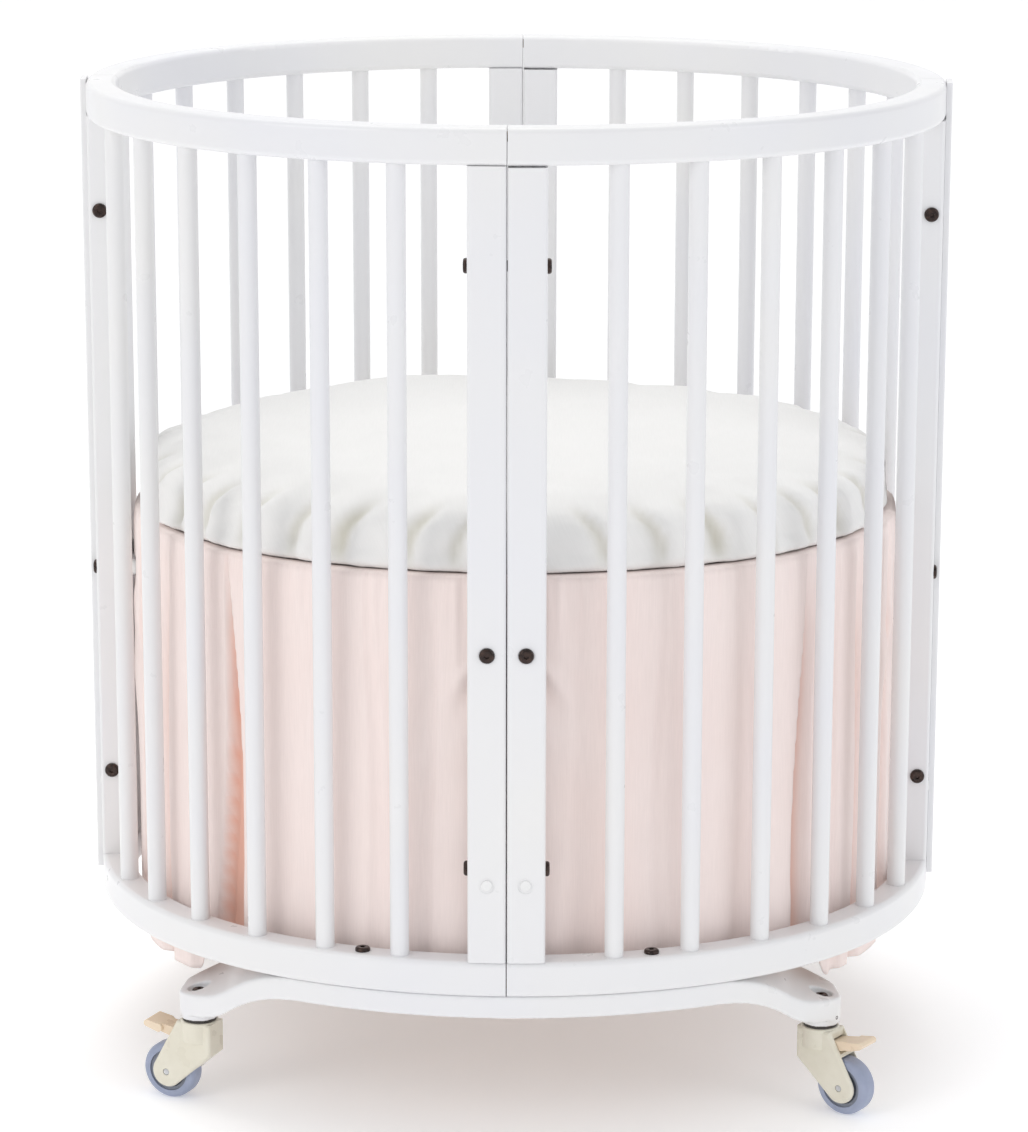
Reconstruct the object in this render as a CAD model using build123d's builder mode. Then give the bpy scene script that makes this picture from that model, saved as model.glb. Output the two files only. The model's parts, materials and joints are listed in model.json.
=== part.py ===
from build123d import *
import os
from math import atan2, cos, degrees, hypot, radians, sin, sqrt

# Oval baby crib on casters. Millimetres, +Z up, origin on the floor under the middle of the oval.
# X runs along the long axis of the oval, the front of the crib faces -Y.

os.makedirs("parts", exist_ok=True)

# ---------------------------------------------------------------- driving dimensions
half_length = 370.0  # half the oval along X, to the outside of the rails
half_width = 335.0  # half the oval along Y
end_radius = 325.0  # radius of the two end arcs of the oval
height = 862.0  # floor to the top of the top rail

rail_width = 26.0
rail_height = 30.0
rail_edge = 4.5
bottom_rail_base = 142.0
seam = 0.4  # half the gap between neighbouring quarters

slat_diameter = 15.8
slat_pitch = 66.0
first_slat = 89.5  # along the rail from the front or rear joint to the first slat
slats_per_quarter = 6
tenon_radius = 5.0
tenon_length = 12.0
tenon_gap = 0.1
socket_spare = 0.5  # left under each tenon in its socket
side_tenon_spread = 8.0  # half the distance between a side post's two tenons
end_tenon_spread = 12.0

side_post_width = 32.0  # posts at the front and rear joints
end_post_width = 46.5  # posts at the left and right joints
post_edge = 3.0
right_post_top_gap = 1.2  # shadow gap left under the top rail on the right-hand posts

strip_width = 31.0
strip_thickness = 5.0
strip_base = 156.0
strip_edge = 1.6
strip_gap = 0.1  # between a strip and the posts that it covers

joint_bolt_heights = (250.0, 751.0)
base_bolt_height = 434.0
low_base_height = 239.0  # plugged holes for the lower mattress position
side_bolt_x = 16.0
end_bolt_y = 38.0

head_radius = 6.3
head_height = 3.4
crown_share = 0.62  # of the head's height that its rounded crown takes
socket_flats = 4.0
socket_depth = 2.0
shank_radius = 3.0
hole_radius = 3.3
seat_radius = 6.8
seat_depth = 4.0
seat_inset = 0.2  # of the flat that a base bolt's head sits on
fit_gap = 0.1  # between a shank and its hole
spacer_radius = 7.0
sleeve_radius = 4.5
sleeve_clearance = 14.0  # by which a sleeve nut is shorter than the two posts it crosses
sleeve_bottom = 3.0  # solid end of the sleeve nut's threaded bore
joint_bolt_length = 44.0
plug_cap_radius = 4.6
plug_cap_height = 1.4
plug_cap_edge = 0.9
plug_length = 9.0
dowel_radius = 4.0
dowel_half_length = 20.0
dowel_end_room = 1.0
dowel_offset = 7.0  # joint dowels lie this far from the rail's middle, clear of the tenons

board_inset = 41.0
board_top = 490.0
board_thickness = 12.0
bracket_inset = 42.0
bracket_thickness = 4.0
bracket_foot = 420.0
bracket_edge = 6.0
bracket_reach = 36.0  # of the flange under the board, inwards from the upright leg
side_bracket_half = 34.0
end_bracket_half = 54.0
nut_half_flats = 5.5
nut_height = 5.0
bolt_end = 7.0  # of a base bolt past the bracket, through its nut
spacer_play = 0.6
screw_offset = 24.0  # of a board screw inwards from the bracket's outer face
screw_spread = 22.0
screw_radius = 2.0
screw_head_radius = 4.5
screw_head_height = 2.4
screw_length = 14.0
vent_radius = 11.0
vent_rings = ((70.0, 6), (140.0, 12), (210.0, 18))  # radius and count of the board's air holes
corner_vents = (480.0, 300.0)
board_edge = 1.5

skirt_inset = 33.0
skirt_thickness = 5.0
skirt_hem = 112.0
skirt_top = 489.5
notch_x = 229.0  # the hem is lifted over each leg here
notch_width = 62.0
notch_height = 28.0
notch_reach = 90.0  # of the notch's cutter, through the skirt front to back
skirt_hole_radius = 8.5

mattress_inset = 40.0
mattress_base = 491.0
mattress_top = 543.5
mattress_edge = 17.0
sheet_inset = 36.5
sheet_thickness = 2.8
sheet_edge = 20.0
sheet_gap = 0.3  # between the sheet and the mattress's top

leg_thickness = 20.0
leg_outer_inset = 3.0
leg_inner_inset = 29.0
leg_drop = 42.0
leg_bend_start = 178.0
leg_bend_end = 292.0
leg_bolt_x = 120.0
leg_bolt_grip = 15.0  # of the bolt into the leg
leg_hole_spare = 1.0
leg_run_out = 20.0  # the leg's outline runs on this far past the hub, then the pad trims it
bar_end = 50.0  # normal angle where the plain bar stops inside the pad
bar_corner = 9.0  # radius that blends the bar into the pad
hub_x = 267.0
hub_y = 203.0
hub_radius = 16.5
hub_base = 77.0
hub_seat = 98.0
pad_x = 250.0
pad_y = 186.0
pad_radius = 32.0
hub_bolt_length = 24.0
hub_recess_gap = 3.2  # round the hub bolt's head
stem_socket = 13.0

wheel_radius = 25.0
wheel_trail = 27.0
tyre_half = 9.0
tyre_edge = 5.0
rim_radius = 18.0
cheek_half = 13.0
well_half = 10.0
well_radius = 27.2
stem_radius = 5.0
housing_top = 74.0
lever_pin = (18.0, 60.0)  # along the trail and above the floor
lever_pin_radius = 1.75
lever_tip = (46.0, 66.5)
lever_tip_radius = 3.0
arm_half = 8.8
arm_radius = 4.5
pedal_half = 12.0
pedal_start = (35.0, 63.8)
pedal_radius = 3.7
fork_radius = 14.0  # of the housing round the axle
fork_edge = 3.0
dome_base = 56.0
dome_edge = 1.5
axle_half = 12.6
stem_base = 57.0
stem_bore_base = 73.0
ring_radius = 14.5
ring_play = 0.4
web_half = 7.5  # half the width of the wheel's web and rim
web_hollow = 3.5
hub_half = 9.5
run_gap = 0.05

slat_radius = slat_diameter / 2
bottom_rail_top = bottom_rail_base + rail_height
top_rail_base = height - rail_height
rail_centre_inset = rail_width / 2

# The oval is four arcs that meet with a common tangent.
end_centre = half_length - end_radius
side_radius = (half_length**2 - 2 * half_length * end_radius + half_width**2) / (
    2 * (half_width - end_radius)
)
side_centre = half_width - side_radius
meet_angle = degrees(atan2(-side_centre, end_centre))

# A quarter is named by the signs of its X and Y.
quarters = {
    "front_left": (-1, -1),
    "front_right": (1, -1),
    "rear_left": (-1, 1),
    "rear_right": (1, 1),
}


def oval_point(normal_angle, inset, signs=(1, 1)):
    """Point of the oval, moved inwards, where its outward normal has this angle (degrees)."""
    if normal_angle < meet_angle:
        cx, cy, radius = end_centre, 0.0, end_radius
    else:
        cx, cy, radius = 0.0, side_centre, side_radius
    x = cx + (radius - inset) * cos(radians(normal_angle))
    y = cy + (radius - inset) * sin(radians(normal_angle))
    return (signs[0] * x, signs[1] * y)


def side_y(x, inset):
    """Y of the front or rear arc at this X."""
    return sqrt((side_radius - inset) ** 2 - x**2) + side_centre


def end_x(y, inset):
    """X of the end arc at this Y."""
    return sqrt((end_radius - inset) ** 2 - y**2) + end_centre


def angle_along(distance, inset):
    """Normal angle after this distance along the inset oval, from the front or rear joint."""
    side_run = radians(90 - meet_angle) * (side_radius - inset)
    if distance < side_run:
        return 90 - degrees(distance / (side_radius - inset))
    return meet_angle - degrees((distance - side_run) / (end_radius - inset))


def slat_places(signs):
    """Plan positions of one quarter's slats, on the rail's centre line."""
    distances = [first_slat + slat_pitch * i for i in range(slats_per_quarter)]
    return [
        oval_point(angle_along(d, rail_centre_inset), rail_centre_inset, signs) for d in distances
    ]


def quarter_arcs(inset, signs, first=90.0, last=0.0):
    """The two arcs of one quarter of the oval, drawn in the current BuildLine."""
    for a, b in ((first, meet_angle), (meet_angle, last)):
        middle = oval_point((a + b) / 2, inset, signs)
        ThreePointArc(oval_point(a, inset, signs), middle, oval_point(b, inset, signs))


def full_oval(inset):
    """Closed oval outline in the current BuildLine."""
    corner = {key: oval_point(meet_angle, inset, key) for key in quarters.values()}
    for sign in (1, -1):
        ThreePointArc(
            corner[(-1, sign)], (0, sign * (half_width - inset)), corner[(1, sign)]
        )
        ThreePointArc(
            corner[(sign, -1)], (sign * (half_length - inset), 0), corner[(sign, 1)]
        )


def save(builder, label):
    builder.part.label = label
    export_step(builder.part, f"parts/{label}.step")


def radial_plane(place, direction, z):
    """Plane at a plan point and height whose normal points along a plan direction."""
    return Plane(origin=(place[0], place[1], z), x_dir=(0, 0, 1), z_dir=(*direction, 0))


def drill(plane, radius, depth):
    """Round hole from a plane along its normal."""
    with BuildSketch(plane) as disc:
        Circle(radius)
    extrude(disc.sketch, amount=depth, mode=Mode.SUBTRACT)


def rod(plane, radius, length):
    with BuildSketch(plane) as disc:
        Circle(radius)
    extrude(disc.sketch, amount=length)


def button_head(plane):
    """Domed hex-socket head standing on a plane, its socket opening along the normal."""
    with BuildSketch(plane) as disc:
        Circle(head_radius)
    head = extrude(disc.sketch, amount=head_height, mode=Mode.PRIVATE)
    crown = plane.origin + plane.z_dir * head_height
    rim = head.edges().filter_by(GeomType.CIRCLE).sort_by_distance(crown)[0]
    with BuildSketch(plane.offset(head_height - socket_depth)) as hexagon:
        RegularPolygon(socket_flats / 2, 6, major_radius=False)
    socket = extrude(hexagon.sketch, amount=socket_depth, mode=Mode.PRIVATE)
    add(head.fillet(head_height * crown_share, [rim]) - socket)


def joint_bolt_places():
    """(plan point, plan direction, half length) of every bolt across the four joints."""
    places = []
    for sign in (1, -1):
        places.append(((0, sign * (half_width - rail_centre_inset)), (1, 0), side_post_width))
        places.append(((sign * (half_length - rail_centre_inset), 0), (0, 1), end_post_width))
    return places


def base_bolt_places():
    """(seat of the head, outward direction, depth to the spacer) of every base bolt.

    The posts curve in plan, so the head sits in a shallow flat and the spacer just clears the
    far edge of the inner face.
    """
    places = []
    for signs in quarters.values():
        seat = side_y(side_bolt_x + seat_radius, seat_inset)
        inner = side_y(side_bolt_x + spacer_radius, rail_width)
        places.append(((signs[0] * side_bolt_x, signs[1] * seat), (0, signs[1]), seat - inner))
        seat = end_x(end_bolt_y + seat_radius, seat_inset)
        inner = end_x(end_bolt_y + spacer_radius, rail_width)
        places.append(((signs[0] * seat, signs[1] * end_bolt_y), (signs[0], 0), seat - inner))
    return places


def moved(place, direction, distance):
    return (place[0] + direction[0] * distance, place[1] + direction[1] * distance)


# ---------------------------------------------------------------- rails
def make_rail(label, signs, base, socket_side, bolted):
    """One quarter of a rail, with sockets for slats, posts and joint dowels."""
    first = 90 - degrees(seam / (side_radius - rail_centre_inset))
    last = degrees(seam / (end_radius - rail_centre_inset))
    middle = base + rail_height / 2
    with BuildPart() as rail:
        with BuildLine(Plane.XY.offset(middle)) as path:
            quarter_arcs(rail_centre_inset, signs, first, last)
        start = path.line @ 0
        with BuildSketch(Plane(origin=start, x_dir=(0, 0, 1), z_dir=path.line % 0)):
            RectangleRounded(rail_height, rail_width, rail_edge)
        sweep(path=path.line)
        face = base + rail_height if socket_side > 0 else base
        sockets = Plane.XY.offset(face - (tenon_length + socket_spare if socket_side > 0 else 0))
        with BuildSketch(sockets):
            with Locations(*slat_places(signs), *post_tenon_places(signs)):
                Circle(tenon_radius + tenon_gap)
        extrude(amount=tenon_length + socket_spare, mode=Mode.SUBTRACT)
        for place, direction, _ in joint_bolt_places():
            level = middle - socket_side * dowel_offset
            reach = dowel_half_length + dowel_end_room
            socket = radial_plane(moved(place, direction, -reach), direction, level)
            drill(socket, dowel_radius + fit_gap, 2 * reach)
        if bolted:
            with BuildSketch(Plane.XY.offset(base)):
                with Locations((signs[0] * leg_bolt_x, signs[1] * side_y(leg_bolt_x, rail_centre_inset))):
                    Circle(hole_radius)
            extrude(amount=rail_height, mode=Mode.SUBTRACT)
    save(rail, label)


def post_tenon_places(signs):
    """Plan positions of the tenons of one quarter's two posts."""
    places = []
    for x in (side_post_width / 2 - side_tenon_spread, side_post_width / 2 + side_tenon_spread):
        places.append((signs[0] * x, signs[1] * side_y(x, rail_centre_inset)))
    for y in (end_post_width / 2 - end_tenon_spread, end_post_width / 2 + end_tenon_spread):
        places.append((signs[0] * end_x(y, rail_centre_inset), signs[1] * y))
    return places


for name, signs in quarters.items():
    make_rail(f"top_rail_{name}", signs, top_rail_base, -1, False)
    make_rail(f"bottom_rail_{name}", signs, bottom_rail_base, 1, True)


# ---------------------------------------------------------------- slats
def make_slats(label, signs):
    with BuildPart() as slats:
        with BuildSketch(Plane.XY.offset(bottom_rail_top)):
            with Locations(*slat_places(signs)):
                Circle(slat_radius)
        extrude(amount=top_rail_base - bottom_rail_top)
        with BuildSketch(Plane.XY.offset(bottom_rail_top - tenon_length)):
            with Locations(*slat_places(signs)):
                Circle(tenon_radius)
        extrude(amount=top_rail_base - bottom_rail_top + 2 * tenon_length)
    save(slats, label)


for name, signs in quarters.items():
    make_slats(f"slats_{name}", signs)


# ---------------------------------------------------------------- posts
def make_post(label, signs, at_end):
    """Upright beside a joint: a slice of the rail's ring with its long edges rounded."""
    width = end_post_width if at_end else side_post_width
    across = end_x if at_end else side_y

    def plan(along, inset):
        pair = (across(along, inset), along) if at_end else (along, across(along, inset))
        return (signs[0] * pair[0], signs[1] * pair[1])

    top = top_rail_base - (right_post_top_gap if signs[0] > 0 else 0)
    middle = (seam + width) / 2
    with BuildPart() as post:
        with BuildSketch(Plane.XY.offset(bottom_rail_top)):
            with BuildLine():
                ThreePointArc(plan(seam, 0), plan(middle, 0), plan(width, 0))
                Line(plan(width, 0), plan(width, rail_width))
                ThreePointArc(plan(width, rail_width), plan(middle, rail_width), plan(seam, rail_width))
                Line(plan(seam, rail_width), plan(seam, 0))
            make_face()
        extrude(amount=top - bottom_rail_top)
        fillet(post.edges().filter_by(Axis.Z), post_edge)
        tenons = post_tenon_places(signs)[2:] if at_end else post_tenon_places(signs)[:2]
        with BuildSketch(Plane.XY.offset(bottom_rail_top - tenon_length)):
            with Locations(*tenons):
                Circle(tenon_radius)
        extrude(amount=top - bottom_rail_top + 2 * tenon_length)
        for place, direction, half in joint_bolt_places():
            for z in joint_bolt_heights:
                face = radial_plane(moved(place, direction, -half - 1), direction, z)
                drill(face, sleeve_radius + fit_gap, 2 * half + 2)
        for place, direction, depth in base_bolt_places():
            for z in (base_bolt_height, low_base_height):
                seat = radial_plane(place, direction, z)
                drill(seat, seat_radius, seat_depth)
                drill(seat.offset(-depth - seat_depth), hole_radius, depth + 2 * seat_depth)
    save(post, label)


for name, signs in quarters.items():
    make_post(f"side_post_{name}", signs, False)
    make_post(f"end_post_{name}", signs, True)


# ---------------------------------------------------------------- cover strips on the two ends
with BuildPart() as end_strips:
    for sign in (1, -1):
        with BuildSketch(Plane.XY.offset(strip_base)):
            with BuildLine():
                outer = [(sign * end_x(y, -strip_thickness), -y) for y in (seam, strip_width / 2, strip_width)]
                inner = [(sign * end_x(y, -strip_gap), -y) for y in (strip_width, strip_width / 2, seam)]
                ThreePointArc(*outer)
                Line(outer[2], inner[0])
                ThreePointArc(*inner)
                Line(inner[2], outer[0])
            make_face()
        extrude(amount=height - strip_base)
    outside = [
        edge
        for edge in end_strips.edges().filter_by(Axis.Z)
        if hypot(abs(edge.center().X) - end_centre, edge.center().Y) > end_radius + strip_thickness / 2
    ]
    fillet(outside, strip_edge)
save(end_strips, "end_strips")


# ---------------------------------------------------------------- fasteners
with BuildPart() as joint_bolts:
    for place, direction, half in joint_bolt_places():
        for z in joint_bolt_heights:
            button_head(radial_plane(moved(place, direction, half), direction, z))
            back = (-direction[0], -direction[1])
            rod(radial_plane(moved(place, direction, half), back, z), shank_radius, joint_bolt_length)
save(joint_bolts, "joint_bolts")

with BuildPart() as joint_sleeve_nuts:
    for place, direction, half in joint_bolt_places():
        for z in joint_bolt_heights:
            back = (-direction[0], -direction[1])
            seat = moved(place, back, half)
            button_head(radial_plane(seat, back, z))
            rod(radial_plane(seat, direction, z), sleeve_radius, 2 * half - sleeve_clearance)
            thread = radial_plane(moved(seat, direction, sleeve_bottom), direction, z)
            drill(thread, shank_radius + fit_gap, 2 * half)
save(joint_sleeve_nuts, "joint_sleeve_nuts")

with BuildPart() as rail_dowels:
    for place, direction, _ in joint_bolt_places():
        for base, socket_side in ((bottom_rail_base, 1), (top_rail_base, -1)):
            z = base + rail_height / 2 - socket_side * dowel_offset
            end = radial_plane(moved(place, direction, -dowel_half_length), direction, z)
            rod(end, dowel_radius, 2 * dowel_half_length)
save(rail_dowels, "rail_dowels")

bracket_gap = bracket_inset - rail_width
with BuildPart() as base_bolts:
    for place, direction, depth in base_bolt_places():
        back = (-direction[0], -direction[1])
        button_head(radial_plane(place, direction, base_bolt_height))
        length = depth + bracket_gap + bracket_thickness + bolt_end
        rod(radial_plane(place, back, base_bolt_height), shank_radius, length)
save(base_bolts, "base_bolts")

with BuildPart() as base_spacers:
    for place, direction, depth in base_bolt_places():
        back = (-direction[0], -direction[1])
        start = moved(place, back, depth + fit_gap)
        with BuildSketch(radial_plane(start, back, base_bolt_height)):
            Circle(spacer_radius)
            Circle(shank_radius + fit_gap, mode=Mode.SUBTRACT)
        extrude(amount=bracket_gap - spacer_play)
save(base_spacers, "base_spacers")

with BuildPart() as hole_plugs:
    for place, direction, _ in base_bolt_places():
        back = (-direction[0], -direction[1])
        seat = radial_plane(place, direction, low_base_height)
        with BuildSketch(seat):
            Circle(plug_cap_radius)
        cap = extrude(amount=plug_cap_height)
        crown = seat.origin + seat.z_dir * plug_cap_height
        rim = cap.edges().filter_by(GeomType.CIRCLE).sort_by_distance(crown)[0]
        fillet(rim, plug_cap_edge)
        rod(radial_plane(place, back, low_base_height), hole_radius - fit_gap, plug_length)
save(hole_plugs, "hole_plugs")

with BuildPart() as leg_bolts:
    for sign_x, sign_y in quarters.values():
        place = (sign_x * leg_bolt_x, sign_y * side_y(leg_bolt_x, rail_centre_inset), bottom_rail_top)
        button_head(Plane(origin=place))
        rod(Plane(origin=place, z_dir=(0, 0, -1)), shank_radius, rail_height + leg_bolt_grip)
save(leg_bolts, "leg_bolts")

with BuildPart() as hub_bolts:
    for sign_x, sign_y in quarters.values():
        place = (sign_x * hub_x, sign_y * hub_y, hub_seat)
        button_head(Plane(origin=place))
        rod(Plane(origin=place, z_dir=(0, 0, -1)), shank_radius, hub_bolt_length)
save(hub_bolts, "hub_bolts")


# ---------------------------------------------------------------- mattress base
def base_bracket_frames():
    """(plane, half width, bolt offset) of each angle bracket; the plane's X runs across the
    bracket, its Y points up and its Z points out, and it lies on the bracket's outer face."""
    frames = []
    side = side_y(side_bolt_x + spacer_radius, rail_width) - bracket_gap
    end = end_x(end_bolt_y + spacer_radius, rail_width) - bracket_gap
    for sign in (1, -1):
        face = Plane(origin=(0, sign * side, 0), x_dir=(-sign, 0, 0), z_dir=(0, sign, 0))
        frames.append((face, side_bracket_half, side_bolt_x))
        face = Plane(origin=(sign * end, 0, 0), x_dir=(0, sign, 0), z_dir=(sign, 0, 0))
        frames.append((face, end_bracket_half, end_bolt_y))
    return frames


bracket_top = board_top - board_thickness
with BuildPart() as base_brackets:
    for frame, half, bolt in base_bracket_frames():
        with BuildSketch(frame.offset(-bracket_thickness)):
            with Locations((0, (bracket_foot + bracket_top) / 2)):
                RectangleRounded(2 * half, bracket_top - bracket_foot, bracket_edge)
            with Locations((0, bracket_top - 2 * bracket_edge)):
                Rectangle(2 * half, 4 * bracket_edge)
            with Locations((bolt, base_bolt_height), (-bolt, base_bolt_height)):
                Circle(shank_radius + 2 * fit_gap, mode=Mode.SUBTRACT)
        extrude(amount=bracket_thickness)
        with BuildSketch(frame.offset(-bracket_thickness - bracket_reach)):
            with Locations((0, bracket_top - bracket_thickness / 2)):
                Rectangle(2 * half, bracket_thickness)
        extrude(amount=bracket_reach + 1)
        for x in (bolt, -bolt):
            with BuildSketch(frame.offset(-bracket_thickness - nut_height)):
                with Locations((x, base_bolt_height)):
                    RegularPolygon(nut_half_flats, 6, major_radius=False)
                    Circle(shank_radius + 2 * fit_gap, mode=Mode.SUBTRACT)
            extrude(amount=nut_height + 0.5)
        for x in (screw_spread, -screw_spread):
            below = bracket_top - 3 * bracket_thickness
            spot = frame.from_local_coords((x, below, -screw_offset))
            drill(Plane(origin=spot), screw_radius + 0.6, 4 * bracket_thickness)
save(base_brackets, "base_brackets")

with BuildPart() as base_board:
    with BuildSketch(Plane.XY.offset(board_top - board_thickness)):
        with BuildLine():
            full_oval(board_inset)
        make_face()
        for ring, count in vent_rings:
            with PolarLocations(ring, count):
                Circle(vent_radius, mode=Mode.SUBTRACT)
        with GridLocations(*corner_vents, 2, 2):
            Circle(vent_radius, mode=Mode.SUBTRACT)
    extrude(amount=board_thickness)
    fillet(base_board.edges().filter_by(Plane.XY).sort_by(SortBy.LENGTH)[-8:], board_edge)
    for frame, _, _ in base_bracket_frames():
        for x in (screw_spread, -screw_spread):
            spot = frame.from_local_coords((x, bracket_top, -screw_offset))
            drill(Plane(origin=spot), screw_radius + fit_gap, screw_length - bracket_thickness)
save(base_board, "base_board")

with BuildPart() as base_screws:
    for frame, _, _ in base_bracket_frames():
        for x in (screw_spread, -screw_spread):
            seat = bracket_top - bracket_thickness - screw_head_height
            spot = frame.from_local_coords((x, seat, -screw_offset))
            rod(Plane(origin=spot), screw_head_radius, screw_head_height)
            rod(Plane(origin=spot), screw_radius, screw_length)
save(base_screws, "base_screws")


# ---------------------------------------------------------------- mattress, sheet and skirt
def oval_block(inset, low, high, edge, mode=Mode.ADD):
    with BuildSketch(Plane.XY.offset(low)) as outline:
        with BuildLine():
            full_oval(inset)
        make_face()
    block = extrude(outline.sketch, amount=high - low, mode=Mode.PRIVATE)
    rounded = block.fillet(edge, block.edges().group_by(Axis.Z)[-1])
    add(rounded, mode=mode)


with BuildPart() as mattress:
    oval_block(mattress_inset, mattress_base, mattress_top, mattress_edge)
save(mattress, "mattress")

with BuildPart() as fitted_sheet:
    oval_block(sheet_inset, mattress_base, mattress_top + sheet_gap + sheet_thickness, sheet_edge)
    cavity = sheet_inset + sheet_thickness
    oval_block(cavity, mattress_base, mattress_top + sheet_gap, mattress_edge, Mode.SUBTRACT)
save(fitted_sheet, "fitted_sheet")

with BuildPart() as bed_skirt:
    with BuildSketch(Plane.XY.offset(skirt_hem)):
        with BuildLine():
            full_oval(skirt_inset)
        make_face()
        with BuildLine():
            full_oval(skirt_inset + skirt_thickness)
        make_face(mode=Mode.SUBTRACT)
    extrude(amount=skirt_top - skirt_hem)
    for place, direction, depth in base_bolt_places():
        back = (-direction[0], -direction[1])
        drill(radial_plane(moved(place, back, depth), back, base_bolt_height), skirt_hole_radius, bracket_gap)
    with BuildSketch(Plane.XY.offset(skirt_hem)):
        with GridLocations(2 * notch_x, 2 * side_y(notch_x, skirt_inset), 2, 2):
            Rectangle(notch_width, notch_reach)
    extrude(amount=notch_height, mode=Mode.SUBTRACT)
save(bed_skirt, "bed_skirt")


# ---------------------------------------------------------------- legs under the bottom rail
def s_curve(z, sign):
    """Top or bottom edge of the leg on one side: level, then down through two tangent arcs."""
    middle = ((leg_bend_start + leg_bend_end) / 2, z - leg_drop / 2)
    TangentArc((sign * leg_bend_start, z), (sign * middle[0], middle[1]), tangent=(sign, 0))
    TangentArc((sign * leg_bend_end, z - leg_drop), (sign * middle[0], middle[1]), tangent=(-sign, 0))
    Line((sign * leg_bend_end, z - leg_drop), (sign * (leg_bend_end + leg_run_out), z - leg_drop))


def make_leg(label, sign_y):
    """Bowed bar under the rail whose ends drop to a round pad and hub for a caster."""
    with BuildPart() as leg:
        with BuildSketch(Plane.XY.offset(hub_base - 10)):
            with BuildLine():
                for inset in (leg_outer_inset, leg_inner_inset):
                    left = oval_point(bar_end, inset, (-1, sign_y))
                    right = oval_point(bar_end, inset, (1, sign_y))
                    left_meet = oval_point(meet_angle, inset, (-1, sign_y))
                    right_meet = oval_point(meet_angle, inset, (1, sign_y))
                    half_way = (bar_end + meet_angle) / 2
                    ThreePointArc(left, oval_point(half_way, inset, (-1, sign_y)), left_meet)
                    ThreePointArc(left_meet, (0, sign_y * (half_width - inset)), right_meet)
                    ThreePointArc(right_meet, oval_point(half_way, inset, (1, sign_y)), right)
                for sign_x in (1, -1):
                    Line(
                        oval_point(bar_end, leg_outer_inset, (sign_x, sign_y)),
                        oval_point(bar_end, leg_inner_inset, (sign_x, sign_y)),
                    )
            make_face()
            for sign_x in (1, -1):
                signs = (sign_x, sign_y)
                with BuildSketch(mode=Mode.PRIVATE) as pad:
                    with Locations((sign_x * hub_x, sign_y * hub_y)):
                        Circle(hub_radius + 0.5)
                    with Locations((sign_x * pad_x, sign_y * pad_y)):
                        Circle(pad_radius)
                    with Locations(oval_point(bar_end, leg_outer_inset + bar_corner, signs)):
                        Circle(bar_corner)
                    with Locations(oval_point(bar_end + 6, leg_inner_inset - bar_corner, signs)):
                        Circle(bar_corner)
                add(make_hull(pad.edges(), mode=Mode.PRIVATE))
        extrude(amount=bottom_rail_base - hub_base + 20)
        with BuildSketch(Plane.XZ.offset(-sign_y * (pad_y - 100))):
            with BuildLine():
                for z in (bottom_rail_base, bottom_rail_base - leg_thickness):
                    Line((-leg_bend_start, z), (leg_bend_start, z))
                    for sign_x in (1, -1):
                        s_curve(z, sign_x)
                for sign_x in (1, -1):
                    x = sign_x * (leg_bend_end + leg_run_out)
                    high = bottom_rail_base - leg_drop
                    Line((x, high), (x, high - leg_thickness))
            make_face()
        extrude(amount=-sign_y * 300, mode=Mode.INTERSECT)
        for sign_x in (1, -1):
            centre = (sign_x * hub_x, sign_y * hub_y)
            with BuildSketch(Plane.XY.offset(hub_base)):
                with Locations(centre):
                    Circle(hub_radius)
            extrude(amount=hub_seat - hub_base)
            drill(Plane(origin=(*centre, hub_seat)), head_radius + hub_recess_gap, leg_thickness * 1.5)
            drill(Plane(origin=(*centre, hub_base)), stem_radius + run_gap, stem_socket)
            drill(Plane(origin=(*centre, hub_base)), hole_radius, hub_seat - hub_base)
            bolt_hole = leg_bolt_grip + leg_hole_spare
            rail_middle = (sign_x * leg_bolt_x, sign_y * side_y(leg_bolt_x, rail_centre_inset))
            foot = Plane(origin=(*rail_middle, bottom_rail_base - bolt_hole))
            drill(foot, shank_radius + fit_gap, bolt_hole)
    save(leg, label)


make_leg("leg_front", -1)
make_leg("leg_rear", 1)

# ---------------------------------------------------------------- casters
# name: (sign of X, sign of Y, direction the wheel trails, in degrees from +X)
casters = {
    "front_left": (-1, -1, 156.0),
    "front_right": (1, -1, -35.0),
    "rear_left": (-1, 1, 200.0),
    "rear_right": (1, 1, 28.0),
}

with BuildPart() as caster_stems:
    for sign_x, sign_y, _ in casters.values():
        place = (sign_x * hub_x, sign_y * hub_y)
        with BuildSketch(Plane.XY.offset(stem_base)):
            with Locations(place):
                Circle(stem_radius)
        extrude(amount=hub_base + stem_socket - 2 * fit_gap - stem_base)
        bore_depth = hub_base + stem_socket - stem_bore_base
        drill(Plane(origin=(*place, stem_bore_base)), shank_radius + fit_gap, bore_depth)
save(caster_stems, "caster_stems")

with BuildPart() as swivel_rings:
    for sign_x, sign_y, _ in casters.values():
        with BuildSketch(Plane.XY.offset(housing_top + ring_play)):
            with Locations((sign_x * hub_x, sign_y * hub_y)):
                Circle(ring_radius)
                Circle(stem_radius + fit_gap, mode=Mode.SUBTRACT)
        extrude(amount=hub_base - housing_top - ring_play - fit_gap)
save(swivel_rings, "swivel_rings")


def caster_planes(sign_x, sign_y, yaw):
    """Side plane (X trails, Y up, through the wheel's middle) and plan plane of one caster."""
    origin = (sign_x * hub_x, sign_y * hub_y, 0)
    trail = (cos(radians(yaw)), sin(radians(yaw)), 0)
    side = Plane(origin=origin, x_dir=trail, z_dir=(trail[1], -trail[0], 0))
    plan = Plane(origin=origin, x_dir=trail, z_dir=(0, 0, 1))
    return side, plan


def ring_cut(side, centre, radius, half):
    """Cut a cylinder whose axis crosses the side plane."""
    with BuildSketch(side.offset(-half)) as disc:
        with Locations(centre):
            Circle(radius)
    extrude(disc.sketch, amount=2 * half, mode=Mode.SUBTRACT)


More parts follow.
